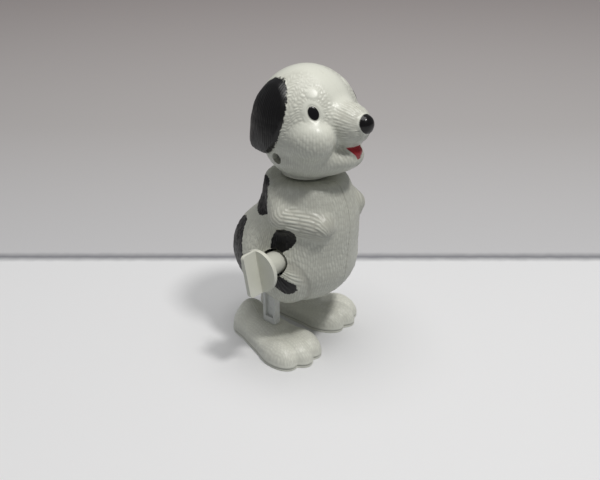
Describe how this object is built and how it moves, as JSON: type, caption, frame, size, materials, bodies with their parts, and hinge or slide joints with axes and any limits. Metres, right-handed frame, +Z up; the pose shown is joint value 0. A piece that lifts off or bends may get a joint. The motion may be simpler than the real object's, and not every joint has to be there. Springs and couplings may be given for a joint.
{
  "type": "wind-up toy dog",
  "caption": "White moulded plastic toy dog with black ears and spots, standing on big feet; a key on its side winds a clockwork motor that makes the legs step.",
  "frame": {"origin": "on the floor under the figure, in the middle plane between its feet", "axes": "+Z up; the dog faces -Y; +X towards its left side, so the winding key is on the -X side"},
  "size_m": [0.0501, 0.0485, 0.0882],
  "materials": {
    "white_plastic": "satin moulded fur, with painted black ears, spots, eyes and nose and a red tongue",
    "ivory_plastic": "smooth moulded",
    "leg_plastic": "smooth, slightly translucent",
    "case_plastic": "plain moulded",
    "gear_plastic": "smooth moulded",
    "steel": "turned or stamped, bright",
    "spring_steel": "blued strip",
    "fly_metal": "plain turned"
  },
  "bodies": {
    "body": {"body_right": "white_plastic", "body_left": "white_plastic", "body_screws": "steel", "motor_case": "case_plastic", "motor_cover": "case_plastic", "case_screws": "steel", "mainspring": "spring_steel"},
    "great_wheel": {"great_wheel": "gear_plastic", "click_spring": "steel"},
    "winder": {"winding_key": "ivory_plastic", "winding_arbor": "steel", "ratchet_wheel": "steel"},
    "crank": {"crank_gear": "gear_plastic", "crankshaft": "steel", "crank_right": "case_plastic", "crank_left": "case_plastic"},
    "third_wheel": {"third_wheel": "gear_plastic"},
    "governor": {"governor_pinion": "gear_plastic", "governor_fly": "fly_metal"},
    "leg_right": {"leg_right": "leg_plastic", "foot_right": "white_plastic"},
    "leg_left": {"leg_left": "leg_plastic", "foot_left": "white_plastic"},
    "head": {"head_right": "white_plastic", "head_left": "white_plastic", "head_screw": "steel"}
  },
  "joints": [
    {"name": "run", "type": "hinge", "parent": "body", "child": "great_wheel", "pos_m": [0, -0.0049, 0.03307], "axis": [-1, 0, 0], "continuous": true},
    {"name": "key_wind", "type": "hinge", "parent": "great_wheel", "child": "winder", "pos_m": [0, -0.0049, 0.03307], "axis": [1, 0, 0], "range_deg": [0, 1710], "deforming": ["click_spring", "mainspring"]},
    {"name": "crank_turn", "type": "hinge", "parent": "body", "child": "crank", "pos_m": [0, 0.0038, 0.0272], "axis": [-1, 0, 0], "continuous": true},
    {"name": "third_turn", "type": "hinge", "parent": "body", "child": "third_wheel", "pos_m": [0, 0.0072, 0.03388], "axis": [-1, 0, 0], "continuous": true},
    {"name": "governor_turn", "type": "hinge", "parent": "body", "child": "governor", "pos_m": [0, 0.00219, 0.03946], "axis": [-1, 0, 0], "continuous": true},
    {"name": "leg_right_swing", "type": "hinge", "parent": "crank", "child": "leg_right", "pos_m": [-0.01055, 0.0018, 0.0272], "axis": [-1, 0, 0], "continuous": true},
    {"name": "leg_left_swing", "type": "hinge", "parent": "crank", "child": "leg_left", "pos_m": [0.01055, 0.0058, 0.0272], "axis": [-1, 0, 0], "continuous": true},
    {"name": "head_turn", "type": "hinge", "parent": "body", "child": "head", "pos_m": [0, -0.0035, 0.0585], "axis": [0, 0, 1], "continuous": true}
  ],
  "couplings": [
    {"joint": "run", "follows": "crank_turn", "ratio": -0.3125},
    {"joint": "third_turn", "follows": "crank_turn", "ratio": -2},
    {"joint": "governor_turn", "follows": "crank_turn", "ratio": 4},
    {"joint": "leg_right_swing", "follows": "crank_turn", "ratio": -1},
    {"joint": "leg_left_swing", "follows": "crank_turn", "ratio": -1}
  ]
}
